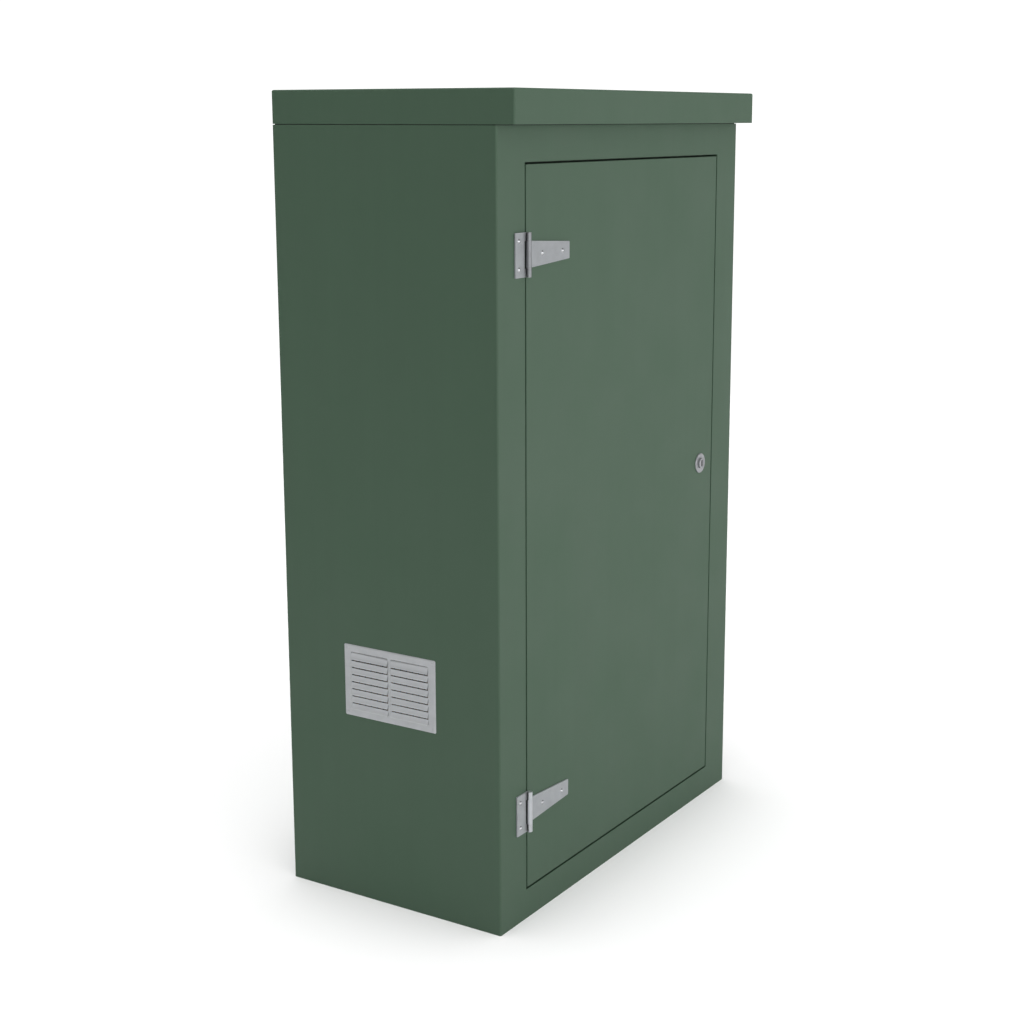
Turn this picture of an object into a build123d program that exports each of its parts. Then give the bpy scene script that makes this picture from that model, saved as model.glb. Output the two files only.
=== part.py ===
from build123d import *
import os

# Roadside utility cabinet: a moulded housing with a bolted lid and a face-hung door.
# Millimetres. X to the right seen from the front, front face towards -Y, Z up.
# The origin is the middle of the base, at floor level.

# How far every cut runs past the face that it starts from
OVERRUN = 2.0

# Radial room round pins, round bolt shanks, and round shanks that sit tight
PIN_FIT = 0.05
HOLE_FIT = 0.25
SNUG_FIT = 0.05

# Housing
BODY_W = 1000.0
BODY_D = 534.0
BODY_H = 1596.0
WALL = 6.0
CORNER_R = 4.0
INNER_R = 8.0
STILE_W = 96.0
TOP_RAIL_H = 68.0
BOTTOM_RAIL_H = 63.0
BASE_FLANGE_W = 60.0
BASE_FLANGE_T = 8.0
BASE_HOLE_R = 7.0
TOP_FLANGE_W = 40.0
TOP_FLANGE_T = 6.0
FLANGE_R = 20.0
STOP_W = 20.0
STOP_T = 6.0
ARRIS_R = 1.0

# Lid
LID_H = 66.0
LID_OVERHANG = 40.0
LID_WALL = 6.0
LID_FLANGE_T = 6.0
LID_EDGE_R = 4.0
LID_GASKET_T = 1.5
LID_JOINT_RECESS = 3.0
LID_BOLT_END = 120.0
LID_BOLT_R = 4.0
LID_BOLT_TAIL = 4.0
LID_HEAD_ACROSS = 13.0
LID_HEAD_H = 5.3
LID_NUT_H = 6.8
LID_WASHER_R = 10.0
LID_WASHER_T = 1.6

# Door
DOOR_T = 28.0
DOOR_GAP = 4.0
DOOR_SKIN = 6.0
DOOR_RETURN_T = 6.0
DOOR_LIP_W = 16.0
DOOR_LIP_T = 5.0
DOOR_CORNER_R = 2.0
DOOR_EDGE_R = 1.2
RIB_BASE_W = 60.0
RIB_TOP_W = 36.0
RIB_H = 13.0
RIB_SHARES = (0.3, 0.7)

# Door seal
SEAL_T = 5.6
SEAL_CLEAR = 0.4
SEAL_MARGIN = 3.0
SEAL_CORNER_R = 6.0
SEAL_BEVEL = 2.4

# Hinges
HINGE_TOP_INSET = 169.0
HINGE_BOTTOM_INSET = 166.5
HINGE_T = 3.0
PIN_R = 3.0
PIN_END_BEVEL = 0.6
KNUCKLE_CLEAR = 0.4
KNUCKLE_GAP = 0.4
NOTCH_GAP = 2.0
LEAF_W = 40.3
LEAF_H = 85.0
LEAF_CORNER_R = 1.5
LEAF_BOLT_EDGE = 12.0
LEAF_BOLT_END = 15.7
STRAP_L = 156.0
STRAP_ROOT_H = 52.0
STRAP_TIP_H = 33.6
STRAP_CORNER_R = 2.0
STRAP_BOLT_TIP = 26.5
STRAP_BOLT_PITCH = 74.5
BOLT_R = 2.5
BOLT_HEAD_R = 4.7
BOLT_HEAD_H = 2.8
BOLT_TAIL = 2.0
BOLT_WASHER_R = 7.5
BOLT_WASHER_T = 1.2
BOLT_NUT_ACROSS = 8.0
BOLT_NUT_H = 4.7

# Lock
LOCK_EDGE = 58.0
LOCK_RISE = 759.5
LOCK_FLANGE_R = 23.0
LOCK_FLANGE_T = 3.0
LOCK_FLANGE_BEVEL = 1.4
LOCK_COLLAR_R = 12.5
LOCK_COLLAR_H = 7.0
LOCK_COLLAR_BEVEL = 0.8
LOCK_BARREL_R = 11.0
LOCK_NUT_ACROSS = 30.0
LOCK_NUT_H = 6.0
LOCK_WASHER_R = 17.0
LOCK_WASHER_T = 1.5
PLUG_R = 7.5
PLUG_HEAD_R = 9.5
PLUG_HEAD_H = 4.5
PLUG_RECESS = 0.5
PLUG_FIT = 0.08
KEY_SLOT_W = 5.4
KEY_SLOT_L = 15.5
KEY_SLOT_DEPTH = 4.0
TAIL_W = 8.0
TAIL_SHORT = 0.3
CAM_W = 20.0
CAM_T = 3.0
CAM_LAP = 14.0
CAM_CLEAR = 0.6
CAM_BARREL_GAP = 0.5
CAM_BOLT_R = 3.0
CAM_BOLT_L = 16.0
CAM_HEAD_ACROSS = 10.0
CAM_HEAD_H = 4.0
CAM_WASHER_R = 9.0
CAM_WASHER_T = 1.2

# Keep plate behind the stop flange
KEEP_T = 1.5
KEEP_H = 90.0
KEEP_MARGIN = 2.0
KEEP_CORNER_R = 3.0
KEEP_RIVET_PITCH = 66.0
KEEP_RIVET_R = 2.0
KEEP_RIVET_HEAD_R = 3.4
KEEP_RIVET_L = 5.0

# Louvre vent
VENT_W = 229.0
VENT_H = 152.4
VENT_Z = 474.5
VENT_T = 1.5
VENT_CORNER_R = 3.0
VENT_RIM_W = 2.4
VENT_RIM_H = 1.0
VENT_COLUMNS = 2
VENT_SLATS = 8
VENT_SIDE_MARGIN = 18.0
VENT_END_MARGIN = 15.3
VENT_BAR_W = 8.0
SLAT_T = 1.2
SLAT_OUT = 4.0
SLAT_IN = 2.4
SLAT_GAP = 4.2
SLAT_EDGE_GAP = 1.4
SLAT_SEAT = 0.8
VENT_CUT_ROOM = 3.0
VENT_CUT_R = 6.0
VENT_RIVET_INSET = 7.0
VENT_RIVET_R = 2.0
VENT_RIVET_HEAD_R = 3.4
VENT_RIVET_HEAD_H = 1.3
VENT_RIVET_TAIL_R = 3.0
VENT_RIVET_TAIL_H = 1.8

# Insect screen behind the vent
SCREEN_LAP = 17.0
SCREEN_T = 0.8
SCREEN_EDGE_W = 17.0
SCREEN_WIRE_W = 2.6
SCREEN_COLUMNS = 13
SCREEN_ROWS = 8

# Backboard and its battens
BOARD_T = 18.0
BOARD_SIDE_ROOM = 54.0
BOARD_BASE_ROOM = 100.0
BOARD_TOP_ROOM = 90.0
BATTEN_W = 45.0
BATTEN_T = 25.0
BATTEN_INSET = 80.0
BATTEN_END_ROOM = 40.0
SCREW_R = 2.5
SCREW_HEAD_R = 5.0
SCREW_L = 36.0
SCREW_ROW_SHARES = (0.1, 0.5, 0.9)

# Planes and sizes that follow from the values above
FRONT = -BODY_D / 2
BACK = BODY_D / 2
SIDE = BODY_W / 2
OPEN_W = BODY_W - 2 * STILE_W
OPEN_H = BODY_H - TOP_RAIL_H - BOTTOM_RAIL_H
OPEN_Z = BOTTOM_RAIL_H + OPEN_H / 2
DOOR_W = OPEN_W - 2 * DOOR_GAP
DOOR_H = OPEN_H - 2 * DOOR_GAP
DOOR_BASE = OPEN_Z - DOOR_H / 2
DOOR_TOP = OPEN_Z + DOOR_H / 2
REBATE_D = DOOR_T + SEAL_CLEAR + SEAL_T
STOP_BACK = FRONT + REBATE_D + STOP_T
TOP_HOLE_W = BODY_W - 2 * (WALL + TOP_FLANGE_W)
TOP_HOLE_D = BODY_D - 2 * (WALL + TOP_FLANGE_W)
LID_BASE = BODY_H + LID_GASKET_T
LID_D = BODY_D + LID_OVERHANG
PIN_BORE_R = PIN_R + PIN_FIT
KNUCKLE_R = PIN_BORE_R + HINGE_T
HINGE_X = -(DOOR_W + DOOR_GAP) / 2
HINGE_Y = FRONT - KNUCKLE_R - KNUCKLE_CLEAR
HINGES = {"lower": DOOR_BASE + HINGE_BOTTOM_INSET, "upper": DOOR_TOP - HINGE_TOP_INSET}
LEAF_BOLT_X = HINGE_X - LEAF_W + LEAF_BOLT_EDGE
LEAF_BOLT_RISE = LEAF_H / 2 - LEAF_BOLT_END
STRAP_BOLT_XS = [HINGE_X + STRAP_L - STRAP_BOLT_TIP - k * STRAP_BOLT_PITCH for k in range(2)]
LOCK_X = DOOR_W / 2 - LOCK_EDGE
LOCK_Z = DOOR_BASE + LOCK_RISE
CAM_DEPTH = REBATE_D + STOP_T + KEEP_T + CAM_CLEAR
BARREL_L = CAM_DEPTH - CAM_BARREL_GAP
CAM_REACH = LOCK_EDGE + DOOR_GAP - STOP_W + CAM_LAP
KEEP_X = OPEN_W / 2 + (WALL - STOP_W) / 2
SLAT_ZONE_H = VENT_H - 2 * VENT_END_MARGIN
SLAT_PITCH = SLAT_ZONE_H / VENT_SLATS
SLAT_ZONE_W = VENT_W - 2 * VENT_SIDE_MARGIN
SLAT_L = (SLAT_ZONE_W - (VENT_COLUMNS - 1) * VENT_BAR_W) / VENT_COLUMNS
VENT_CUT_W = SLAT_ZONE_W + 2 * VENT_CUT_ROOM
VENT_CUT_H = SLAT_ZONE_H + 2 * VENT_CUT_ROOM
BOARD_BACK = BACK - WALL - BATTEN_T
BOARD_W = BODY_W - 2 * (WALL + BOARD_SIDE_ROOM)
BOARD_BASE = BASE_FLANGE_T + BOARD_BASE_ROOM
BOARD_H = BODY_H - TOP_FLANGE_T - BOARD_TOP_ROOM - BOARD_BASE
BATTEN_X = BOARD_W / 2 - BATTEN_INSET
BATTEN_H = BOARD_H - 2 * BATTEN_END_ROOM
BOARD_Z = BOARD_BASE + BOARD_H / 2

# Turns that point a piece's own +Z out of the front, out of the left side, inwards and down
OUT_FRONT = Rot(90, 0, 0)
OUT_LEFT = Rot(0, -90, 0)
INWARDS = Rot(-90, 0, 0)
DOWN = Rot(180, 0, 0)


def rising(plan, z0, z1):
    """Raise a plan drawn in X and Y from one level to another."""
    return extrude(Plane.XY.offset(z0) * plan, amount=z1 - z0)


def backwards(elevation, y0, y1):
    """Push an outline drawn in X and Z back from one depth to another."""
    return extrude(Plane.XZ.offset(-y0) * elevation, amount=y0 - y1)


def sideways(section, x0, x1):
    """Run a section drawn in Y and Z across from one X to another."""
    return extrude(Plane.YZ.offset(x0) * section, amount=x1 - x0)


def turned(points):
    """Turn a half section of radius and height points about the Z axis."""
    return revolve(Plane.XZ * make_face(Polyline(*points, close=True)), axis=Axis.Z)


def ring(outer_r, inner_r, height):
    """Flat ring standing on its own XY plane."""
    return rising(Circle(outer_r) - Circle(inner_r), 0, height)


def hexagon(across):
    """Hexagon by its size across the flats."""
    return RegularPolygon(across / 2, 6, major_radius=False)


def hex_nut(across, bore_r, height):
    """Plain hexagon nut standing on its own XY plane."""
    return rising(hexagon(across) - Circle(bore_r), 0, height)


def hex_bolt(across, head_h, shank_r, length):
    """Hexagon bolt with its head above its own XY plane and its shank below."""
    return rising(hexagon(across), 0, head_h) + rising(Circle(shank_r), -length, 0)


def dome_bolt(head_r, head_h, shank_r, length):
    """Dome-headed bolt with its head above its own XY plane and its shank below."""
    ball_r = (head_r ** 2 + head_h ** 2) / (2 * head_h)
    ball = Pos(0, 0, head_h - ball_r) * Sphere(ball_r)
    head = ball & rising(Circle(head_r + OVERRUN), 0, head_h + OVERRUN)
    return head + rising(Circle(shank_r), -length, 0)


def flush_pin(head_r, shank_r, length):
    """Countersunk pin whose flat head lies in its own XY plane."""
    head_h = head_r - shank_r
    return turned([(0, -length), (shank_r, -length), (shank_r, -head_h), (head_r, 0), (0, 0)])


def holes(places, turn, radius, depth):
    """Drillings that start above each place and go down its own Z axis."""
    drill = rising(Circle(radius), -depth, OVERRUN)
    return [Pos(*place) * turn * drill for place in places]


def copies(piece, places, turn):
    """Separate copies of a piece, one at each place."""
    return Compound([(Pos(*place) * turn * piece).solid() for place in places])


def front_rectangle(width, height, radius, z_mid):
    """Rounded rectangle of the front elevation, on the centre line."""
    return Pos(0, z_mid) * RectangleRounded(width, height, radius)


def lid_bolt_places(z):
    """Three bolts along the front and back flanges and one in each side flange."""
    inset = WALL + TOP_FLANGE_W / 2
    along = [-SIDE + LID_BOLT_END, 0, SIDE - LID_BOLT_END]
    long_sides = [(x, y, z) for y in (FRONT + inset, BACK - inset) for x in along]
    return long_sides + [(-SIDE + inset, 0, z), (SIDE - inset, 0, z)]


def base_bolt_places(z):
    """Four fixing holes in the corners of the base flange."""
    inset = WALL + BASE_FLANGE_W / 2
    return [(x, y, z) for x in (-SIDE + inset, SIDE - inset) for y in (FRONT + inset, BACK - inset)]


def leaf_bolt_places(y):
    """Two bolts in each frame leaf."""
    rises = (-LEAF_BOLT_RISE, LEAF_BOLT_RISE)
    return [(LEAF_BOLT_X, y, z_mid + rise) for z_mid in HINGES.values() for rise in rises]


def strap_bolt_places(y):
    """Two bolts along each strap."""
    return [(x, y, z_mid) for z_mid in HINGES.values() for x in STRAP_BOLT_XS]


def vent_rivet_places(x):
    """One rivet near each corner of the vent."""
    y_end = VENT_W / 2 - VENT_RIVET_INSET
    z_end = VENT_H / 2 - VENT_RIVET_INSET
    return [(x, y, VENT_Z + z) for y in (-y_end, y_end) for z in (-z_end, z_end)]


def keep_rivet_places(y):
    """Two rivets, above and below the cam's path."""
    return [(KEEP_X, y, LOCK_Z + rise) for rise in (-KEEP_RIVET_PITCH / 2, KEEP_RIVET_PITCH / 2)]


def board_screw_places(y):
    """Three screws into each batten."""
    foot = BOARD_Z - BATTEN_H / 2
    return [(x, y, foot + share * BATTEN_H) for x in (-BATTEN_X, BATTEN_X) for share in SCREW_ROW_SHARES]


def make_housing():
    """Moulded shell with base and top flanges and a rebated door opening."""
    shell = rising(RectangleRounded(BODY_W, BODY_D, CORNER_R), 0, BODY_H)
    room = RectangleRounded(BODY_W - 2 * WALL, BODY_D - 2 * WALL, INNER_R)
    shell -= rising(room, BASE_FLANGE_T, BODY_H - TOP_FLANGE_T)
    base_edge = 2 * (WALL + BASE_FLANGE_W)
    base_hole = RectangleRounded(BODY_W - base_edge, BODY_D - base_edge, FLANGE_R)
    shell -= rising(base_hole, -OVERRUN, BASE_FLANGE_T + OVERRUN)
    top_hole = RectangleRounded(TOP_HOLE_W, TOP_HOLE_D, FLANGE_R)
    shell -= rising(top_hole, BODY_H - TOP_FLANGE_T - OVERRUN, BODY_H + OVERRUN)
    tunnel = front_rectangle(OPEN_W + 2 * WALL, OPEN_H + 2 * WALL, DOOR_CORNER_R + WALL, OPEN_Z)
    shell += backwards(tunnel, FRONT, STOP_BACK)
    opening = front_rectangle(OPEN_W, OPEN_H, DOOR_CORNER_R, OPEN_Z)
    shell -= backwards(opening, FRONT - OVERRUN, FRONT + REBATE_D)
    doorway = front_rectangle(OPEN_W - 2 * STOP_W, OPEN_H - 2 * STOP_W, DOOR_CORNER_R, OPEN_Z)
    shell -= backwards(doorway, FRONT - OVERRUN, STOP_BACK + OVERRUN)
    face = shell.faces().sort_by(Axis.Y)[0]
    shell = fillet(face.inner_wires()[0].edges(), ARRIS_R)
    vent_cut = Pos(0, VENT_Z) * RectangleRounded(VENT_CUT_W, VENT_CUT_H, VENT_CUT_R)
    shell -= sideways(vent_cut, -SIDE - OVERRUN, -SIDE + WALL + OVERRUN)
    through = WALL + OVERRUN
    shell -= holes(vent_rivet_places(-SIDE), OUT_LEFT, VENT_RIVET_R + SNUG_FIT, through)
    shell -= holes(leaf_bolt_places(FRONT), OUT_FRONT, BOLT_R + HOLE_FIT, through)
    shell -= holes(lid_bolt_places(BODY_H), Rot(), LID_BOLT_R + HOLE_FIT, TOP_FLANGE_T + OVERRUN)
    shell -= holes(base_bolt_places(0), DOWN, BASE_HOLE_R, BASE_FLANGE_T + OVERRUN)
    rivet_depth = KEEP_RIVET_L - KEEP_T + SNUG_FIT
    shell -= holes(keep_rivet_places(STOP_BACK), INWARDS, KEEP_RIVET_R + SNUG_FIT, rivet_depth)
    return shell


def make_lid():
    """Hollow flat lid, open below inside its fixing flange, standing out over the front."""
    y_mid = -LID_OVERHANG / 2
    block = rising(Pos(0, y_mid) * Rectangle(BODY_W, LID_D), LID_BASE, LID_BASE + LID_H)
    outer = block.edges().filter_by(Axis.Z) + block.edges().group_by(Axis.Z)[-1]
    lid = fillet(outer, LID_EDGE_R)
    room = Pos(0, y_mid) * RectangleRounded(BODY_W - 2 * LID_WALL, LID_D - 2 * LID_WALL, INNER_R)
    lid -= rising(room, LID_BASE + LID_FLANGE_T, LID_BASE + LID_H - LID_WALL)
    mouth = RectangleRounded(TOP_HOLE_W, TOP_HOLE_D, FLANGE_R)
    lid -= rising(mouth, LID_BASE - OVERRUN, LID_BASE + LID_FLANGE_T + OVERRUN)
    lid -= holes(lid_bolt_places(LID_BASE), DOWN, LID_BOLT_R + HOLE_FIT, LID_FLANGE_T + OVERRUN)
    return lid


def make_lid_gasket():
    """Thin ring between the two flanges, set back from the outer faces."""
    outline = RectangleRounded(BODY_W - 2 * LID_JOINT_RECESS, BODY_D - 2 * LID_JOINT_RECESS, CORNER_R)
    gasket = rising(outline - RectangleRounded(TOP_HOLE_W, TOP_HOLE_D, FLANGE_R), BODY_H, LID_BASE)
    return gasket - holes(lid_bolt_places(LID_BASE), Rot(), LID_BOLT_R + HOLE_FIT, LID_GASKET_T + OVERRUN)


def make_lid_bolts():
    """Hexagon bolts put in from below, with their washers and nuts."""
    head_seat = BODY_H - TOP_FLANGE_T - LID_WASHER_T
    nut_seat = LID_BASE + LID_FLANGE_T
    length = nut_seat + LID_NUT_H + LID_BOLT_TAIL - head_seat
    bolt = hex_bolt(LID_HEAD_ACROSS, LID_HEAD_H, LID_BOLT_R, length)
    washer = ring(LID_WASHER_R, LID_BOLT_R + HOLE_FIT, LID_WASHER_T)
    nut = hex_nut(LID_HEAD_ACROSS, LID_BOLT_R + SNUG_FIT, LID_NUT_H)
    return {
        "lid_bolts": copies(bolt, lid_bolt_places(head_seat), DOWN),
        "lid_washers": copies(washer, lid_bolt_places(head_seat), Rot()),
        "lid_nuts": copies(nut, lid_bolt_places(nut_seat), Rot()),
    }


def rib_levels():
    """Heights of the door's ribs, spread between the hinges and the lock."""
    spans = [(HINGES["lower"], LOCK_Z), (LOCK_Z, HINGES["upper"])]
    return [low + share * (high - low) for low, high in spans for share in RIB_SHARES]


def make_door():
    """Moulded pan with returned edges, a seal lip and tapered stiffening ribs."""
    skin_back = FRONT + DOOR_SKIN
    door_back = FRONT + DOOR_T
    pan = backwards(front_rectangle(DOOR_W, DOOR_H, DOOR_CORNER_R, OPEN_Z), FRONT, door_back)
    pan = fillet(pan.faces().sort_by(Axis.Y)[0].edges(), DOOR_EDGE_R)
    room_w = DOOR_W - 2 * DOOR_RETURN_T
    room_h = DOOR_H - 2 * DOOR_RETURN_T
    room = front_rectangle(room_w, room_h, DOOR_CORNER_R, OPEN_Z)
    pan -= backwards(room, skin_back, door_back - DOOR_LIP_T)
    mouth = front_rectangle(room_w - 2 * DOOR_LIP_W, room_h - 2 * DOOR_LIP_W, FLANGE_R, OPEN_Z)
    pan -= backwards(mouth, skin_back, door_back + OVERRUN)
    for level in rib_levels():
        rib = Polyline(
            (skin_back, level - RIB_BASE_W / 2),
            (skin_back + RIB_H, level - RIB_TOP_W / 2),
            (skin_back + RIB_H, level + RIB_TOP_W / 2),
            (skin_back, level + RIB_BASE_W / 2),
            close=True,
        )
        pan += sideways(make_face(rib), -room_w / 2, room_w / 2)
    pan -= holes(strap_bolt_places(FRONT), OUT_FRONT, BOLT_R + HOLE_FIT, DOOR_SKIN + OVERRUN)
    pan -= holes([(LOCK_X, FRONT, LOCK_Z)], OUT_FRONT, LOCK_BARREL_R + HOLE_FIT, DOOR_SKIN + OVERRUN)
    return pan


def make_door_seal():
    """Soft ring on the stop flange, rounded towards the door."""
    front = FRONT + DOOR_T + SEAL_CLEAR
    outline = front_rectangle(OPEN_W - 2 * SEAL_MARGIN, OPEN_H - 2 * SEAL_MARGIN, SEAL_CORNER_R, OPEN_Z)
    inset = 2 * (STOP_W - SEAL_MARGIN)
    inner = front_rectangle(OPEN_W - inset, OPEN_H - inset, SEAL_CORNER_R, OPEN_Z)
    seal = backwards(outline - inner, front, FRONT + REBATE_D)
    return chamfer(seal.faces().sort_by(Axis.Y)[0].edges(), SEAL_BEVEL)


def rolled_edge(side):
    """Plan of a plate edge rolled three quarters of the way round the pin, open towards its plate."""
    eye = Pos(HINGE_X, HINGE_Y) * (Circle(KNUCKLE_R) - Circle(PIN_BORE_R))
    seam_d = FRONT - HINGE_T - HINGE_Y
    seam_place = Pos(HINGE_X + side * KNUCKLE_R / 2, HINGE_Y + seam_d / 2)
    return eye - seam_place * Rectangle(KNUCKLE_R, seam_d)


def make_leaf(z_mid):
    """Frame leaf with a rolled knuckle at each end of the barrel."""
    outline = Pos(HINGE_X - LEAF_W / 2, z_mid) * Rectangle(LEAF_W, LEAF_H)
    outline = fillet(outline.vertices().group_by(Axis.X)[0], LEAF_CORNER_R)
    notch_h = STRAP_ROOT_H + 2 * KNUCKLE_GAP
    notch_w = KNUCKLE_R + NOTCH_GAP
    outline -= Pos(HINGE_X - notch_w / 2, z_mid) * Rectangle(notch_w, notch_h)
    leaf = backwards(outline, FRONT - HINGE_T, FRONT)
    roll = rolled_edge(-1)
    leaf += rising(roll, z_mid - LEAF_H / 2, z_mid - notch_h / 2)
    leaf += rising(roll, z_mid + notch_h / 2, z_mid + LEAF_H / 2)
    return leaf - holes(leaf_bolt_places(FRONT - HINGE_T), OUT_FRONT, BOLT_R + HOLE_FIT, HINGE_T + OVERRUN)


def make_strap(z_mid):
    """Tapered strap with the middle knuckle of the barrel."""
    root_x = HINGE_X + KNUCKLE_R
    tip_x = HINGE_X + STRAP_L
    edge = Polyline(
        (HINGE_X, z_mid - STRAP_ROOT_H / 2),
        (root_x, z_mid - STRAP_ROOT_H / 2),
        (tip_x, z_mid - STRAP_TIP_H / 2),
        (tip_x, z_mid + STRAP_TIP_H / 2),
        (root_x, z_mid + STRAP_ROOT_H / 2),
        (HINGE_X, z_mid + STRAP_ROOT_H / 2),
        close=True,
    )
    outline = make_face(edge)
    outline = fillet(outline.vertices().group_by(Axis.X)[-1], STRAP_CORNER_R)
    strap = backwards(outline, FRONT - HINGE_T, FRONT)
    strap += rising(rolled_edge(1), z_mid - STRAP_ROOT_H / 2, z_mid + STRAP_ROOT_H / 2)
    return strap - holes(strap_bolt_places(FRONT - HINGE_T), OUT_FRONT, BOLT_R + HOLE_FIT, HINGE_T + OVERRUN)


def make_pin(z_mid):
    """Plain pin as long as the barrel, with bevelled ends."""
    pin = Pos(HINGE_X, HINGE_Y, z_mid) * Cylinder(PIN_R, LEAF_H)
    return chamfer(pin.edges().filter_by(GeomType.CIRCLE), PIN_END_BEVEL)


def make_hinge_fixings(prefix, places, thickness):
    """Dome-headed bolts through a hinge plate and a panel, with washers and nuts behind."""
    washer_back = FRONT + thickness + BOLT_WASHER_T
    nut_back = washer_back + BOLT_NUT_H
    length = nut_back + BOLT_TAIL - FRONT + HINGE_T
    bolt = dome_bolt(BOLT_HEAD_R, BOLT_HEAD_H, BOLT_R, length)
    washer = ring(BOLT_WASHER_R, BOLT_R + HOLE_FIT, BOLT_WASHER_T)
    nut = hex_nut(BOLT_NUT_ACROSS, BOLT_R + SNUG_FIT, BOLT_NUT_H)
    return {
        prefix + "_hinge_bolts": copies(bolt, places(FRONT - HINGE_T), OUT_FRONT),
        prefix + "_hinge_washers": copies(washer, places(washer_back), OUT_FRONT),
        prefix + "_hinge_nuts": copies(nut, places(nut_back), OUT_FRONT),
    }


def make_lock_body():
    """Flanged lock barrel with a raised collar, bored for the plug."""
    head_floor = LOCK_COLLAR_H - PLUG_RECESS - PLUG_HEAD_H
    return turned([
        (PLUG_R + PLUG_FIT, -BARREL_L),
        (LOCK_BARREL_R, -BARREL_L),
        (LOCK_BARREL_R, 0),
        (LOCK_FLANGE_R, 0),
        (LOCK_FLANGE_R, LOCK_FLANGE_T - LOCK_FLANGE_BEVEL),
        (LOCK_FLANGE_R - LOCK_FLANGE_BEVEL, LOCK_FLANGE_T),
        (LOCK_COLLAR_R, LOCK_FLANGE_T),
        (LOCK_COLLAR_R, LOCK_COLLAR_H - LOCK_COLLAR_BEVEL),
        (LOCK_COLLAR_R - LOCK_COLLAR_BEVEL, LOCK_COLLAR_H),
        (PLUG_HEAD_R + PLUG_FIT, LOCK_COLLAR_H),
        (PLUG_HEAD_R + PLUG_FIT, head_floor - PLUG_FIT),
        (PLUG_R + PLUG_FIT, head_floor - PLUG_FIT),
    ])


def make_lock_plug():
    """Turning plug with a key slot in its head and a square tail for the cam."""
    face = LOCK_COLLAR_H - PLUG_RECESS
    head_floor = face - PLUG_HEAD_H
    plug = turned([
        (0, -CAM_DEPTH),
        (PLUG_R, -CAM_DEPTH),
        (PLUG_R, head_floor),
        (PLUG_HEAD_R, head_floor),
        (PLUG_HEAD_R, face),
        (0, face),
    ])
    plug -= rising(SlotOverall(KEY_SLOT_L, KEY_SLOT_W, rotation=90), face - KEY_SLOT_DEPTH, face + OVERRUN)
    tail_end = -CAM_DEPTH - CAM_T + TAIL_SHORT
    plug += rising(Rectangle(TAIL_W, TAIL_W), tail_end, -CAM_DEPTH)
    bolt_end = -CAM_DEPTH - CAM_T - CAM_WASHER_T + CAM_BOLT_L + HOLE_FIT
    return plug - rising(Circle(CAM_BOLT_R + SNUG_FIT), tail_end - OVERRUN, bolt_end)


def make_lock():
    """Lock body, fixings behind the door skin, plug, cam and its bolt."""
    on_door = Pos(LOCK_X, FRONT, LOCK_Z) * OUT_FRONT
    washer_back = FRONT + DOOR_SKIN + LOCK_WASHER_T
    nut_back = washer_back + LOCK_NUT_H
    cam_front = FRONT + CAM_DEPTH
    cam_back = cam_front + CAM_T
    cam_washer_back = cam_back + CAM_WASHER_T
    cam_l = CAM_REACH + CAM_W / 2
    cam = Pos(LOCK_X, LOCK_Z + CAM_W / 2 - cam_l / 2) * SlotOverall(cam_l, CAM_W, rotation=90)
    cam -= Pos(LOCK_X, LOCK_Z) * Rectangle(TAIL_W + 2 * SNUG_FIT, TAIL_W + 2 * SNUG_FIT)
    washer = ring(LOCK_WASHER_R, LOCK_BARREL_R + HOLE_FIT, LOCK_WASHER_T)
    nut = hex_nut(LOCK_NUT_ACROSS, LOCK_BARREL_R + SNUG_FIT, LOCK_NUT_H)
    cam_washer = ring(CAM_WASHER_R, CAM_BOLT_R + HOLE_FIT, CAM_WASHER_T)
    cam_bolt = hex_bolt(CAM_HEAD_ACROSS, CAM_HEAD_H, CAM_BOLT_R, CAM_BOLT_L)
    return {
        "lock_body": on_door * make_lock_body(),
        "lock_plug": on_door * make_lock_plug(),
        "lock_washer": Pos(LOCK_X, washer_back, LOCK_Z) * OUT_FRONT * washer,
        "lock_nut": Pos(LOCK_X, nut_back, LOCK_Z) * OUT_FRONT * nut,
        "lock_cam": backwards(cam, cam_front, cam_back),
        "cam_washer": Pos(LOCK_X, cam_washer_back, LOCK_Z) * OUT_FRONT * cam_washer,
        "cam_bolt": Pos(LOCK_X, cam_washer_back, LOCK_Z) * INWARDS * cam_bolt,
    }


def make_keep():
    """Wear plate that the cam closes behind, with its flush rivets."""
    width = STOP_W + WALL - 2 * KEEP_MARGIN
    outline = Pos(KEEP_X, LOCK_Z) * RectangleRounded(width, KEEP_H, KEEP_CORNER_R)
    plate_back = STOP_BACK + KEEP_T
    plate = backwards(outline, STOP_BACK, plate_back)
    seat = flush_pin(KEEP_RIVET_HEAD_R + SNUG_FIT, KEEP_RIVET_R + SNUG_FIT, KEEP_RIVET_L)
    places = keep_rivet_places(plate_back)
    plate -= [Pos(*place) * INWARDS * seat for place in places]
    rivet = flush_pin(KEEP_RIVET_HEAD_R, KEEP_RIVET_R, KEEP_RIVET_L)
    return {"keep_plate": plate, "keep_rivets": copies(rivet, places, INWARDS)}


def slat(y_mid, z_top, z_lip):
    """One tilted slat, its top edge behind the plate and its lip in front of it."""
    face_x = -SIDE - VENT_T
    section = Polyline(
        (face_x + SLAT_IN, z_top),
        (face_x + SLAT_IN - SLAT_T, z_top),
        (face_x - SLAT_OUT, z_lip + SLAT_T),
        (face_x - SLAT_OUT, z_lip),
        (face_x - SLAT_OUT + SLAT_T, z_lip),
        close=True,
    )
    half = SLAT_L / 2 + SLAT_SEAT
    return backwards(make_face(section), y_mid - half, y_mid + half)


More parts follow.
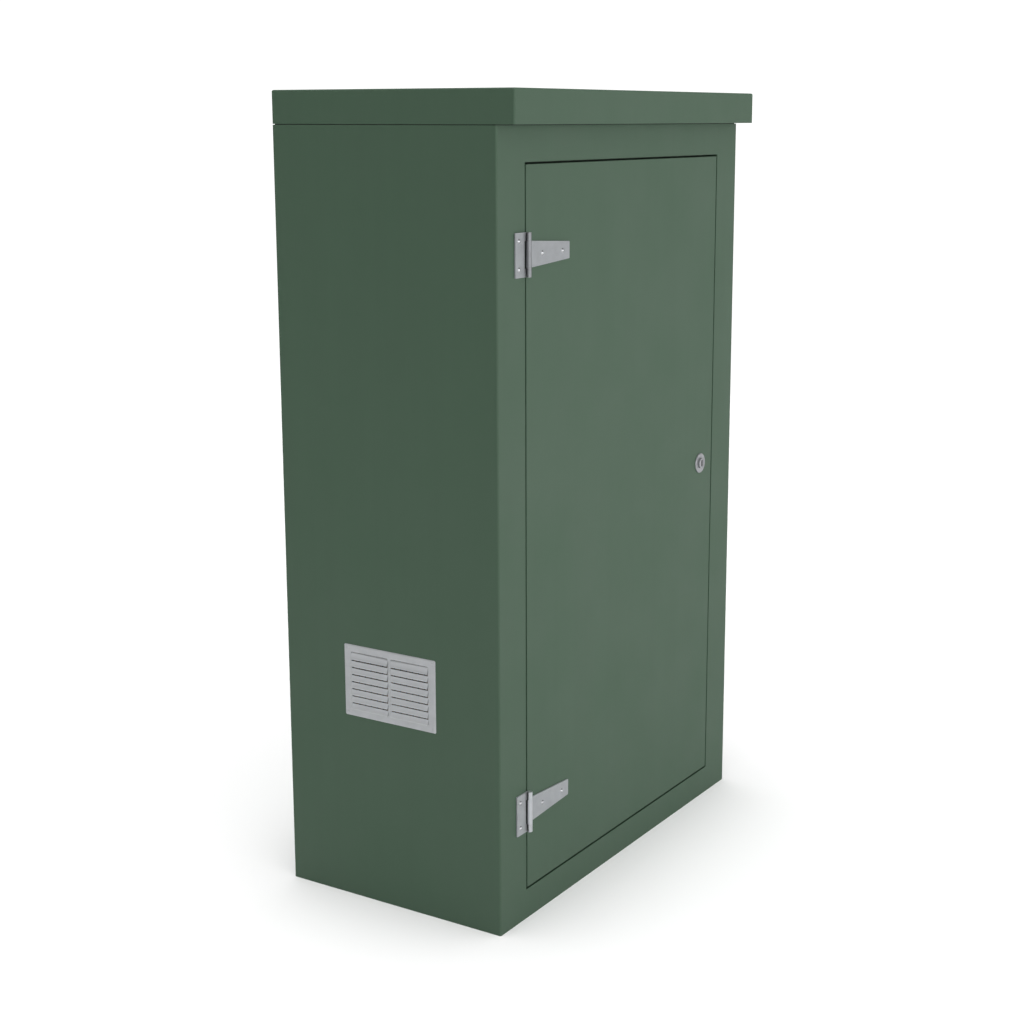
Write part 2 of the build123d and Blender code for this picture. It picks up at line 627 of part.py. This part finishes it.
def slat_column(y_mid):
    """Slats one above another, with an open gap under each lip and a narrow one over the first."""
    zone_top = VENT_Z + SLAT_ZONE_H / 2
    lips = [zone_top - (k + 1) * SLAT_PITCH for k in range(VENT_SLATS)]
    tops = [zone_top - SLAT_EDGE_GAP] + [lip - SLAT_GAP for lip in lips[:-1]]
    return [slat(y_mid, z_top, z_lip) for z_top, z_lip in zip(tops, lips)]


def make_vent():
    """Pressed plate with a bevelled rim and columns of slats twisted out of it."""
    outline = Pos(0, VENT_Z) * RectangleRounded(VENT_W, VENT_H, VENT_CORNER_R)
    plate = sideways(outline, -SIDE - VENT_T, -SIDE)
    face = plate.faces().sort_by(Axis.X)[0]
    plate = chamfer(face.edges(), VENT_RIM_W, VENT_RIM_H, reference=face)
    first = (1 - VENT_COLUMNS) / 2
    middles = [(first + k) * (SLAT_L + VENT_BAR_W) for k in range(VENT_COLUMNS)]
    for y_mid in middles:
        window = Pos(y_mid, VENT_Z) * Rectangle(SLAT_L, SLAT_ZONE_H)
        plate -= sideways(window, -SIDE - VENT_T - OVERRUN, -SIDE + OVERRUN)
    plate += [piece for y_mid in middles for piece in slat_column(y_mid)]
    return plate - holes(vent_rivet_places(-SIDE), OUT_LEFT, VENT_RIVET_R + SNUG_FIT, OVERRUN)


def make_vent_rivets():
    """Dome-headed rivets through the vent, the wall and the screen."""
    grip = VENT_T + WALL + SCREEN_T
    rivet = dome_bolt(VENT_RIVET_HEAD_R, VENT_RIVET_HEAD_H, VENT_RIVET_R, grip)
    rivet += rising(Circle(VENT_RIVET_TAIL_R), -grip - VENT_RIVET_TAIL_H, -grip)
    return copies(rivet, vent_rivet_places(-SIDE - VENT_T), OUT_LEFT)


def make_screen():
    """Perforated sheet over the vent opening, inside the wall."""
    width = VENT_CUT_W + 2 * SCREEN_LAP - 2 * VENT_CUT_ROOM
    height = VENT_CUT_H + 2 * SCREEN_LAP - 2 * VENT_CUT_ROOM
    step_y = (width - 2 * SCREEN_EDGE_W + SCREEN_WIRE_W) / SCREEN_COLUMNS
    step_z = (height - 2 * SCREEN_EDGE_W + SCREEN_WIRE_W) / SCREEN_ROWS
    mesh = Rectangle(step_y - SCREEN_WIRE_W, step_z - SCREEN_WIRE_W)
    sheet = RectangleRounded(width, height, VENT_CORNER_R)
    sheet -= GridLocations(step_y, step_z, SCREEN_COLUMNS, SCREEN_ROWS) * mesh
    inside = -SIDE + WALL
    screen = sideways(Pos(0, VENT_Z) * sheet, inside, inside + SCREEN_T)
    return screen - holes(vent_rivet_places(inside), OUT_LEFT, VENT_RIVET_R + SNUG_FIT, SCREEN_T + OVERRUN)


def make_backboard():
    """Plywood board screwed to two battens on the back wall."""
    face = BOARD_BACK - BOARD_T
    places = board_screw_places(face)
    seat = flush_pin(SCREW_HEAD_R + SNUG_FIT, SCREW_R + SNUG_FIT, SCREW_L + SNUG_FIT)
    seats = [Pos(*place) * OUT_FRONT * seat for place in places]
    board = backwards(Pos(0, BOARD_Z) * Rectangle(BOARD_W, BOARD_H), face, BOARD_BACK) - seats
    pieces = {"backboard": board}
    for name, x in (("left_batten", -BATTEN_X), ("right_batten", BATTEN_X)):
        batten = backwards(Pos(x, BOARD_Z) * Rectangle(BATTEN_W, BATTEN_H), BOARD_BACK, BACK - WALL)
        pieces[name] = batten - seats
    screw = flush_pin(SCREW_HEAD_R, SCREW_R, SCREW_L)
    pieces["backboard_screws"] = copies(screw, places, OUT_FRONT)
    return pieces


def make_hinges():
    """Leaf, strap and pin of each hinge, and the bolts of both."""
    pieces = {}
    for name, z_mid in HINGES.items():
        pieces[name + "_hinge_leaf"] = make_leaf(z_mid)
        pieces[name + "_hinge_strap"] = make_strap(z_mid)
        pieces[name + "_hinge_pin"] = make_pin(z_mid)
    pieces.update(make_hinge_fixings("frame", leaf_bolt_places, WALL))
    pieces.update(make_hinge_fixings("door", strap_bolt_places, DOOR_SKIN))
    return pieces


nodes = {
    "housing": make_housing(),
    "lid": make_lid(),
    "lid_gasket": make_lid_gasket(),
    "door": make_door(),
    "door_seal": make_door_seal(),
    "vent_louvre": make_vent(),
    "vent_rivets": make_vent_rivets(),
    "insect_screen": make_screen(),
}
nodes.update(make_lid_bolts())
nodes.update(make_hinges())
nodes.update(make_lock())
nodes.update(make_keep())
nodes.update(make_backboard())

os.makedirs("parts", exist_ok=True)
for name, shape in nodes.items():
    export_step(shape, f"parts/{name}.step")
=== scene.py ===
import math

import bpy
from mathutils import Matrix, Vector


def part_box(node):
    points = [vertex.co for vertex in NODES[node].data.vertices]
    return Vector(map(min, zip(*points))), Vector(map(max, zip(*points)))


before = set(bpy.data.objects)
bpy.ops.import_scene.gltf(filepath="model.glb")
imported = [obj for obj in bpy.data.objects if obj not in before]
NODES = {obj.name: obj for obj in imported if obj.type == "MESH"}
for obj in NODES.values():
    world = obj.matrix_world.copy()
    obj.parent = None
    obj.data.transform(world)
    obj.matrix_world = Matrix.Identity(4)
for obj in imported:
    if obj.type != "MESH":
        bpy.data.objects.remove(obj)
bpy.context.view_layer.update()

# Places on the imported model, in metres
HINGES = ("upper", "lower")
BODY_LOW, BODY_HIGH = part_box("housing")
FRONT = BODY_LOW.y
DOOR_LOW, DOOR_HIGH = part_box("door")
LID_LOW, LID_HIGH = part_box("lid")
STOP_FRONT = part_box("door_seal")[1].y
PLUG_LOW, PLUG_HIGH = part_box("lock_plug")
PIN = sum(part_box("upper_hinge_pin"), Vector()) / 2
BARREL_ENDS = [end.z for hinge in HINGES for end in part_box(f"{hinge}_hinge_leaf")]
VENT_LOW, VENT_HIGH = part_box("vent_louvre")

# Thickness of the mouldings, and the slack for telling one face from the next
WALL = 0.006
SKIN = 0.0005

# Depth of the key slot in the plug's head
KEY_SLOT_FLOOR = 0.004

# Hinge barrels: reach of the knuckles from the pin, where they meet their plates, where the painted shade in
# the creases starts
BARREL_REACH = 0.0062
BARREL_BACK = PIN.y + 0.003
LEAF_CREASE = PIN.y - 0.0012
STRAP_CREASE = PIN.y + 0.001

# Vent slats: distances from the vent's middle, sides, foot and head, foot of the top pair, start of the roots
SLATS_INNER = 0.0035
SLATS_SIDE = 0.0175
SLATS_FOOT = 0.015
SLATS_HEAD = 0.0185
TOP_SLATS = 0.031
SLATS_ROOT = VENT_HIGH.x - 0.0012

# Colours in linear light
GREEN = (0.0321, 0.0708, 0.0395)
INNER_GREEN = (0.16, 0.21, 0.17)
HINGE_GREY = (0.265, 0.277, 0.289)
KNUCKLE_GREY = (0.30, 0.31, 0.325)
HEAD_GREY = (0.42, 0.43, 0.445)
OILED_AND_SHADE_GREY = (0.03, 0.03, 0.032)
ZINC_GREY = (0.38, 0.39, 0.405)
LOCK_GREY = (0.28, 0.285, 0.298)
VENT_GREY = (0.385, 0.397, 0.41)
# Slats painted lighter than the vent plate, most at their roots and least for the top pair, as painted light
SLAT_ROOT_GREY = (0.61, 0.63, 0.65)
SLAT_LIP_GREY = (0.445, 0.46, 0.472)
TOP_ROOT_GREY = (0.50, 0.516, 0.532)
TOP_LIP_GREY = (0.385, 0.398, 0.41)
MESH_BLACK = (0.014, 0.015, 0.017)
RUBBER_BLACK = (0.018, 0.018, 0.018)
PLY_PALE = (0.56, 0.40, 0.25)
PLY_DARK = (0.40, 0.26, 0.14)
TIMBER_PALE = (0.50, 0.36, 0.22)
TIMBER_DARK = (0.34, 0.22, 0.12)
FLOOR_PALE = (0.9, 0.9, 0.9)
WHITE = (1.0, 1.0, 1.0, 1.0)

# Painted reflection: one hinge finish in two copies, the upper hinge a little darker than the lower one and
# its knuckles much darker, for the dark and bright surroundings they mirror
HINGE_PAINTED_LIGHT = {"upper": 0.96, "lower": 1.1}
KNUCKLE_PAINTED_LIGHT = {"upper": 0.55, "lower": 1.5}

# Darkest and lightest share of a colour within one finish
GELCOAT_SHADES = (0.97, 1.03)
FLOWCOAT_SHADES = (0.88, 1.1)
METAL_SHADES = (0.93, 1.05)
RUBBER_SHADES = (0.7, 1.5)
FLOOR_SHADES = (0.995, 1.005)

# Smoothest and roughest part of a finish, or one roughness for all of it
GELCOAT_ROUGHNESS = (0.61, 0.69)
FLOWCOAT_ROUGHNESS = (0.55, 0.75)
WOOD_ROUGHNESS = (0.6, 0.74)
RUBBER_ROUGHNESS = 0.82
FLOOR_ROUGHNESS = 0.9

# How far the lines of a brushed metal go below and above its roughness
BRUSH_SMOOTHER = 0.05
BRUSH_ROUGHER = 0.07

# Strength of the plain reflection, for the two finishes that differ from the usual half
GELCOAT_SPECULAR = 0.52
FLOOR_SPECULAR = 0.0

# The vent's plate and slats are one metal, the slats painted in lighter shades as painted light
VENT_ROUGHNESS = 0.44
VENT_METALLIC = 0.4

# Noise density along X, Y and Z: lines run along the axis where it is lowest
EVENLY = (1.0, 1.0, 1.0)
STREAKS = (30.0, 30.0, 1.2)
STRANDS = (1.0, 1.0, 0.35)
HINGE_BRUSH = (60.0, 900.0, 900.0)
KNUCKLE_BRUSH = (900.0, 900.0, 60.0)
HEAD_GRAIN = (400.0, 400.0, 400.0)
PIN_BRUSH = (400.0, 400.0, 60.0)
COATED_GRAIN = (300.0, 300.0, 300.0)
LOCK_BRUSH = (500.0, 60.0, 500.0)
VENT_BRUSH = (700.0, 40.0, 700.0)
PLY_GRAIN = (45.0, 260.0, 3.0)
TIMBER_GRAIN = (160.0, 160.0, 4.0)

# Small fixings that share one finish
FIXINGS = (
    "lid_bolts", "lid_washers", "lid_nuts",
    "frame_hinge_washers", "frame_hinge_nuts", "door_hinge_washers", "door_hinge_nuts",
    "lock_washer", "lock_nut", "lock_cam", "cam_washer", "cam_bolt",
    "backboard_screws",
)

# Round floor
FLOOR_RADIUS = 7.0
FLOOR_SIDES = 96

# Studio light: strength of each part, and how tightly it keeps to its direction
EVEN_GLOW = 0.46
TOP_GLOW = 31.3
TOP_SPREAD = 100.0
KEY_GLOW = 0.95
KEY_SPREAD = 8.0
FRONT_GLOW = 3.95
FRONT_SPREAD = 2.0
FRONT_LOWNESS = 4.0
BACKDROP_GLOW = 1.1
UP = Vector((0.0, 0.0, 1.0))
AHEAD = Vector((0.0, -1.0, 0.0))
KEY_WAY = Vector((-0.6, -0.375, 0.707))

# Camera of the photograph, whose frame is 1024 pixels square
PHOTO_SIDE = 1024
CAMERA_PLACE = Vector((-3.1872, -2.0506, 1.6111))
CAMERA_YAW = 1.01236
CAMERA_PITCH = 0.20032
FOCAL_PIXELS = 1735.12
CENTRE_PIXEL = (545.06, 469.22)
SENSOR_MM = 36.0


# Shader building blocks
def new_material(name):
    """New material, its node tree and its principled shader."""
    material = bpy.data.materials.new(name)
    material.use_nodes = True
    return material, material.node_tree, material.node_tree.nodes["Principled BSDF"]


def add(tree, kind, **values):
    """New node, with its properties and its input values set by name."""
    node = tree.nodes.new(kind)
    for key, value in values.items():
        if hasattr(node, key):
            setattr(node, key, value)
        else:
            node.inputs[key.replace("_", " ")].default_value = value
    return node


def calculated(tree, operation, first, second):
    """Result of a sum on two values, each a number or another node's output."""
    node = add(tree, "ShaderNodeMath", operation=operation)
    for socket, value in zip(node.inputs, (first, second)):
        if isinstance(value, (int, float)):
            socket.default_value = value
        else:
            tree.links.new(value, socket)
    return node.outputs["Value"]


def stretched_noise(tree, stretch, scale=1.0, detail=3.0, roughness=0.5):
    """Noise in the object's own metres, stretched along its axes."""
    place = add(tree, "ShaderNodeTexCoord")
    mapping = add(tree, "ShaderNodeMapping", Scale=stretch)
    noise = add(tree, "ShaderNodeTexNoise", Scale=scale, Detail=detail, Roughness=roughness)
    tree.links.new(place.outputs["Object"], mapping.inputs["Vector"])
    tree.links.new(mapping.outputs["Vector"], noise.inputs["Vector"])
    return noise.outputs["Fac"]


def ranged(tree, value, low=0.0, high=1.0, start=0.3, end=0.7):
    """Value mapped from a band, which is the middle of noise unless given, to a low and a high result."""
    node = add(tree, "ShaderNodeMapRange")
    node.inputs["From Min"].default_value = start
    node.inputs["From Max"].default_value = end
    node.inputs["To Min"].default_value = low
    node.inputs["To Max"].default_value = high
    tree.links.new(value, node.inputs["Value"])
    return node.outputs["Result"]


def tinted(tree, value, dark, light):
    """Colour between two tints by a value from 0 to 1."""
    mix = add(tree, "ShaderNodeMix", data_type="RGBA")
    mix.inputs["A"].default_value = (*dark, 1.0)
    mix.inputs["B"].default_value = (*light, 1.0)
    tree.links.new(value, mix.inputs["Factor"])
    return mix.outputs["Result"]


def scaled(colour, factor):
    """Colour made darker or lighter."""
    return tuple(factor * part for part in colour)


def shaded(tree, value, colour, shades):
    """Colour that goes from its darkest to its lightest shade by a value from 0 to 1."""
    darkest, lightest = shades
    return tinted(tree, value, scaled(colour, darkest), scaled(colour, lightest))


def bumped(tree, shader, value, strength, depth):
    """Small relief on the shader's surface."""
    bump = add(tree, "ShaderNodeBump", Strength=strength, Distance=depth)
    tree.links.new(value, bump.inputs["Height"])
    tree.links.new(bump.outputs["Normal"], shader.inputs["Normal"])


def brushed(tree, shader, stretch, roughness, metallic):
    """Satin metal surface with fine lines along one axis."""
    lines = stretched_noise(tree, stretch, detail=4.0, roughness=0.65)
    sheen = ranged(tree, lines, roughness - BRUSH_SMOOTHER, roughness + BRUSH_ROUGHER)
    tree.links.new(sheen, shader.inputs["Roughness"])
    shader.inputs["Metallic"].default_value = metallic
    bumped(tree, shader, lines, strength=0.08, depth=0.0002)


# Finishes
def gelcoat(name, colour):
    """Satin moulded gelcoat: slow mottling, faint upright streaks and orange peel."""
    material, tree, shader = new_material(name)
    mottle = stretched_noise(tree, EVENLY, scale=5.0, detail=4.0)
    streak = stretched_noise(tree, STREAKS)
    tone = ranged(tree, calculated(tree, "ADD", mottle, streak), start=0.7, end=1.3)
    tree.links.new(shaded(tree, tone, colour, GELCOAT_SHADES), shader.inputs["Base Color"])
    tree.links.new(ranged(tree, mottle, *GELCOAT_ROUGHNESS), shader.inputs["Roughness"])
    shader.inputs["Specular IOR Level"].default_value = GELCOAT_SPECULAR
    peel = stretched_noise(tree, EVENLY, scale=260.0, detail=2.0)
    bumped(tree, shader, peel, strength=0.05, depth=0.0006)
    return material


def flowcoat(name, colour):
    """Brushed inner face of the mouldings: matt, with the strands of the mat showing."""
    material, tree, shader = new_material(name)
    strands = stretched_noise(tree, STRANDS, scale=90.0, detail=5.0, roughness=0.6)
    tone = ranged(tree, strands)
    tree.links.new(shaded(tree, tone, colour, FLOWCOAT_SHADES), shader.inputs["Base Color"])
    tree.links.new(ranged(tree, strands, *FLOWCOAT_ROUGHNESS), shader.inputs["Roughness"])
    bumped(tree, shader, strands, strength=0.35, depth=0.0012)
    return material


def brushed_metal(name, colour, stretch, roughness, metallic=1.0):
    """Satin metal with fine lines along one axis and slow tone changes."""
    material, tree, shader = new_material(name)
    tone = ranged(tree, stretched_noise(tree, EVENLY, scale=45.0))
    tree.links.new(shaded(tree, tone, colour, METAL_SHADES), shader.inputs["Base Color"])
    brushed(tree, shader, stretch, roughness, metallic)
    return material


def painted_light_slats(name, root_colour, lip_colour):
    """Aluminium painted lighter than the plate, most at each slat's root and less towards its lip, as painted
    light against the shade cast by the slat above.
    """
    material, tree, shader = new_material(name)
    place = add(tree, "ShaderNodeTexCoord")
    parts = add(tree, "ShaderNodeSeparateXYZ")
    tree.links.new(place.outputs["Object"], parts.inputs["Vector"])
    painted_root_light = ranged(tree, parts.outputs["X"], start=VENT_LOW.x, end=SLATS_ROOT)
    tree.links.new(tinted(tree, painted_root_light, lip_colour, root_colour), shader.inputs["Base Color"])
    brushed(tree, shader, VENT_BRUSH, VENT_ROUGHNESS, VENT_METALLIC)
    return material


def rubber(name, colour):
    """Matt foam rubber with a fine grain."""
    material, tree, shader = new_material(name)
    grain = stretched_noise(tree, EVENLY, scale=900.0, detail=2.0)
    tone = ranged(tree, grain)
    tree.links.new(shaded(tree, tone, colour, RUBBER_SHADES), shader.inputs["Base Color"])
    shader.inputs["Roughness"].default_value = RUBBER_ROUGHNESS
    bumped(tree, shader, grain, strength=0.3, depth=0.0004)
    return material


def wood(name, pale, dark, stretch):
    """Sanded wood with grain drawn out along one axis."""
    material, tree, shader = new_material(name)
    grain = stretched_noise(tree, stretch, detail=6.0, roughness=0.62)
    tone = ranged(tree, grain, start=0.32, end=0.68)
    tree.links.new(tinted(tree, tone, dark, pale), shader.inputs["Base Color"])
    tree.links.new(ranged(tree, grain, *WOOD_ROUGHNESS), shader.inputs["Roughness"])
    bumped(tree, shader, grain, strength=0.15, depth=0.0005)
    return material


def floor_paint(name, colour):
    """Matt paint with a faint grain and no shine."""
    material, tree, shader = new_material(name)
    grain = stretched_noise(tree, EVENLY, scale=300.0)
    tree.links.new(shaded(tree, grain, colour, FLOOR_SHADES), shader.inputs["Base Color"])
    shader.inputs["Roughness"].default_value = FLOOR_ROUGHNESS
    shader.inputs["Specular IOR Level"].default_value = FLOOR_SPECULAR
    return material


# Putting finishes on the CAD meshes
def dress(material, *names):
    """Give CAD nodes a material in place of their plain one."""
    for name in names:
        mesh = NODES[name].data
        mesh.materials.clear()
        mesh.materials.append(material)
        for face in mesh.polygons:
            face.material_index = 0


def dress_where(chosen, material, *names):
    """Give some faces of CAD nodes another material, chosen by their middles."""
    for name in names:
        mesh = NODES[name].data
        slot = len(mesh.materials)
        mesh.materials.append(material)
        for face in mesh.polygons:
            if chosen(face.center):
                face.material_index = slot


# Choosing faces by their middles
def inside_housing(place):
    """Faces behind the outer walls, apart from the door's rebate."""
    edge = WALL - SKIN
    in_rebate = place.y < STOP_FRONT + SKIN and abs(place.x) < DOOR_HIGH.x + WALL
    at_side = abs(place.x) > BODY_HIGH.x - edge or abs(place.y) > BODY_HIGH.y - edge
    at_end = place.z < BODY_LOW.z + SKIN or place.z > BODY_HIGH.z - SKIN
    return not (at_side or at_end or in_rebate)


def inside_door(place):
    """Faces within the door's pan."""
    edge = WALL - SKIN
    across = DOOR_HIGH.x - abs(place.x) > edge
    along = FRONT + edge < place.y < DOOR_HIGH.y - SKIN
    return across and along and DOOR_LOW.z + edge < place.z < DOOR_HIGH.z - edge


def inside_lid(place):
    """Faces within the lid's hollow."""
    edge = WALL - SKIN
    across = LID_LOW.x + edge < place.x < LID_HIGH.x - edge
    along = LID_LOW.y + edge < place.y < LID_HIGH.y - edge
    return across and along and LID_LOW.z + SKIN < place.z < LID_HIGH.z - edge


def inside_key_slot(place):
    """Faces of the slot in the plug's head, painted dark as shade."""
    middle = (PLUG_LOW + PLUG_HIGH) / 2
    depth = place.y - PLUG_LOW.y
    from_axis = math.hypot(place.x - middle.x, place.z - middle.z)
    return SKIN < depth < KEY_SLOT_FLOOR + SKIN and from_axis < PLUG_HIGH.x - middle.x - SKIN


def on_barrel(place):
    """Faces of the hinges' rolled knuckles, in front of their plates."""
    return math.hypot(place.x - PIN.x, place.y - PIN.y) < BARREL_REACH and place.y < BARREL_BACK


def at_barrel_end(place):
    """Faces at the top and bottom of the hinges' barrels."""
    return any(abs(place.z - end) < 2 * SKIN for end in BARREL_ENDS)


def in_painted_crease_shade(place, front):
    """Faces of the knuckles in the crease beside the frame leaf, behind a given depth, painted dark as shade.
    """
    return on_barrel(place) and place.x < PIN.x and place.y > front and not at_barrel_end(place)


def in_leaf_painted_crease_shade(place):
    """Faces of the frame leaf's knuckles in the crease, painted dark as shade."""
    return in_painted_crease_shade(place, LEAF_CREASE)


def in_strap_painted_crease_shade(place):
    """Faces of the strap's knuckle in the crease, painted dark as shade."""
    return in_painted_crease_shade(place, STRAP_CREASE)


def on_slats(place):
    """Faces of the vent's slats."""
    across = SLATS_INNER < abs(place.y) < VENT_HIGH.y - SLATS_SIDE
    return across and VENT_LOW.z + SLATS_FOOT < place.z < VENT_HIGH.z - SLATS_HEAD


def on_top_slats(place):
    """Faces of the vent's top pair of slats, with no slat above them, painted less light than the rest."""
    return on_slats(place) and place.z > VENT_HIGH.z - TOP_SLATS


def painted_shade_behind_slats(place):
    """Faces at the roots of the slats, in the gaps, painted black as shade."""
    return on_slats(place) and place.x > SLATS_ROOT


# Stage, light and camera
def pale_floor():
    """Round floor under the object."""
    rim = [math.tau * side / FLOOR_SIDES for side in range(FLOOR_SIDES)]
    corners = [(FLOOR_RADIUS * math.cos(turn), FLOOR_RADIUS * math.sin(turn), BODY_LOW.z) for turn in rim]
    mesh = bpy.data.meshes.new("floor")
    mesh.from_pydata(corners, [], [tuple(range(FLOOR_SIDES))])
    mesh.materials.append(floor_paint("floor_paint", FLOOR_PALE))
    floor = bpy.data.objects.new("floor", mesh)
    bpy.context.scene.collection.objects.link(floor)


def share_along(tree, way):
    """Cosine of the angle between a direction in the sky and a given one."""
    place = add(tree, "ShaderNodeTexCoord")
    along = add(tree, "ShaderNodeVectorMath", operation="DOT_PRODUCT")
    along.inputs[1].default_value = way
    tree.links.new(place.outputs["Generated"], along.inputs[0])
    return along.outputs["Value"]


def glow(tree, way, spread, strength):
    """Soft patch of light in the sky around one direction."""
    facing = calculated(tree, "MAXIMUM", share_along(tree, way), 0.0)
    return calculated(tree, "MULTIPLY", calculated(tree, "POWER", facing, spread), strength)


def kept_low(tree, patch, lowness):
    """Patch of light that fades away from the horizon."""
    height = calculated(tree, "ABSOLUTE", share_along(tree, UP), 0.0)
    nearness = calculated(tree, "SUBTRACT", 1.0, height)
    return calculated(tree, "MULTIPLY", patch, calculated(tree, "POWER", nearness, lowness))


def tent_light(tree):
    """Lamp overhead, low bank in front and soft key beside the camera, added to an even glow."""
    overhead = glow(tree, UP, TOP_SPREAD, TOP_GLOW)
    ahead = kept_low(tree, glow(tree, AHEAD, FRONT_SPREAD, FRONT_GLOW), FRONT_LOWNESS)
    key = glow(tree, KEY_WAY, KEY_SPREAD, KEY_GLOW)
    lamps = calculated(tree, "ADD", calculated(tree, "ADD", overhead, ahead), key)
    return calculated(tree, "ADD", lamps, EVEN_GLOW)


def studio():
    """World that lights the object from its tent and stands behind it as plain white."""
    world = bpy.data.worlds.new("studio")
    world.use_nodes = True
    bpy.context.scene.world = world
    tree = world.node_tree
    tent = tree.nodes["Background"]
    tent.inputs["Color"].default_value = WHITE
    tree.links.new(tent_light(tree), tent.inputs["Strength"])
    backdrop = add(tree, "ShaderNodeBackground", Color=WHITE, Strength=BACKDROP_GLOW)
    rays = add(tree, "ShaderNodeLightPath")
    choice = add(tree, "ShaderNodeMixShader")
    tree.links.new(rays.outputs["Is Camera Ray"], choice.inputs[0])
    tree.links.new(tent.outputs[0], choice.inputs[1])
    tree.links.new(backdrop.outputs[0], choice.inputs[2])
    tree.links.new(choice.outputs[0], tree.nodes["World Output"].inputs["Surface"])


def photo_camera():
    """Camera that sees the object as the photograph does."""
    optics = bpy.data.cameras.new("camera")
    optics.sensor_width = SENSOR_MM
    optics.lens = SENSOR_MM * FOCAL_PIXELS / PHOTO_SIDE
    optics.shift_x = (PHOTO_SIDE / 2 - CENTRE_PIXEL[0]) / PHOTO_SIDE
    optics.shift_y = (CENTRE_PIXEL[1] - PHOTO_SIDE / 2) / PHOTO_SIDE
    camera = bpy.data.objects.new("camera", optics)
    camera.location = CAMERA_PLACE
    camera.rotation_euler = (math.pi / 2 - CAMERA_PITCH, 0.0, -CAMERA_YAW)
    bpy.context.scene.collection.objects.link(camera)
    bpy.context.scene.camera = camera


# Materials
outer_skin = gelcoat("green_gelcoat", GREEN)
inner_skin = flowcoat("inner_flowcoat", INNER_GREEN)
head_metal = brushed_metal("polished_steel", HEAD_GREY, HEAD_GRAIN, roughness=0.13)
# Dark oiled steel for the pins, also painted as shade into the hinge creases and the key slot
pin_metal_and_painted_shade = brushed_metal("oiled_steel_and_painted_shade", OILED_AND_SHADE_GREY, PIN_BRUSH, roughness=0.6)
fixing_metal = brushed_metal("zinc_steel", ZINC_GREY, COATED_GRAIN, roughness=0.42)
lock_metal = brushed_metal("lock_metal", LOCK_GREY, LOCK_BRUSH, roughness=0.36, metallic=0.8)
vent_metal = brushed_metal("vent_aluminium", VENT_GREY, VENT_BRUSH, VENT_ROUGHNESS, VENT_METALLIC)
slat_metal = painted_light_slats("slat_aluminium", SLAT_ROOT_GREY, SLAT_LIP_GREY)
top_slat_metal = painted_light_slats("top_slat_aluminium", TOP_ROOT_GREY, TOP_LIP_GREY)
# Black coating of the insect screen, also painted as shade into the gaps between the slats
screen_and_painted_shade = brushed_metal("mesh_coating_and_painted_shade", MESH_BLACK, COATED_GRAIN, roughness=0.6, metallic=0.0)
seal_rubber = rubber("seal_rubber", RUBBER_BLACK)
plywood = wood("plywood", PLY_PALE, PLY_DARK, PLY_GRAIN)
timber = wood("batten_timber", TIMBER_PALE, TIMBER_DARK, TIMBER_GRAIN)
hinge_metals = {}
barrel_metals = {}
# Darker and lighter copies of the hinge finishes, one pair for each hinge, as painted reflection
for hinge in HINGES:
    plate_grey = scaled(HINGE_GREY, HINGE_PAINTED_LIGHT[hinge])
    barrel_grey = scaled(KNUCKLE_GREY, KNUCKLE_PAINTED_LIGHT[hinge])
    hinge_metals[hinge] = brushed_metal(
        f"{hinge}_hinge_steel", plate_grey, HINGE_BRUSH, roughness=0.5, metallic=0.4
    )
    barrel_metals[hinge] = brushed_metal(
        f"{hinge}_knuckle_steel", barrel_grey, KNUCKLE_BRUSH, roughness=0.34, metallic=0.8
    )

# What each piece wears
dress(outer_skin, "housing", "lid", "door")
dress(head_metal, "frame_hinge_bolts", "door_hinge_bolts")
dress(hinge_metals["upper"], "keep_plate", "keep_rivets")
dress(fixing_metal, *FIXINGS)
dress(lock_metal, "lock_body", "lock_plug")
dress(vent_metal, "vent_louvre", "vent_rivets")
dress(screen_and_painted_shade, "insect_screen")
dress(seal_rubber, "lid_gasket", "door_seal")
dress(plywood, "backboard")
dress(timber, "left_batten", "right_batten")
dress_where(inside_housing, inner_skin, "housing")
dress_where(inside_door, inner_skin, "door")
dress_where(inside_lid, inner_skin, "lid")
# Painted shade: the key slot gets the dark pin steel
dress_where(inside_key_slot, pin_metal_and_painted_shade, "lock_plug")
# Painted light on the slats, in a lighter copy below the top pair
dress_where(on_slats, slat_metal, "vent_louvre")
dress_where(on_top_slats, top_slat_metal, "vent_louvre")
dress_where(painted_shade_behind_slats, screen_and_painted_shade, "vent_louvre")
for hinge in HINGES:
    dress(hinge_metals[hinge], f"{hinge}_hinge_leaf", f"{hinge}_hinge_strap")
    dress(pin_metal_and_painted_shade, f"{hinge}_hinge_pin")
    dress_where(on_barrel, barrel_metals[hinge], f"{hinge}_hinge_leaf", f"{hinge}_hinge_strap")
    # Painted shade: the creases beside the frame leaves get the dark pin steel
    dress_where(in_leaf_painted_crease_shade, pin_metal_and_painted_shade, f"{hinge}_hinge_leaf")
    dress_where(in_strap_painted_crease_shade, pin_metal_and_painted_shade, f"{hinge}_hinge_strap")
    dress_where(at_barrel_end, barrel_metals[hinge], f"{hinge}_hinge_pin")

# The picture
pale_floor()
studio()
photo_camera()
bpy.context.scene.view_settings.view_transform = "Standard"
bpy.context.scene.view_settings.look = "None"
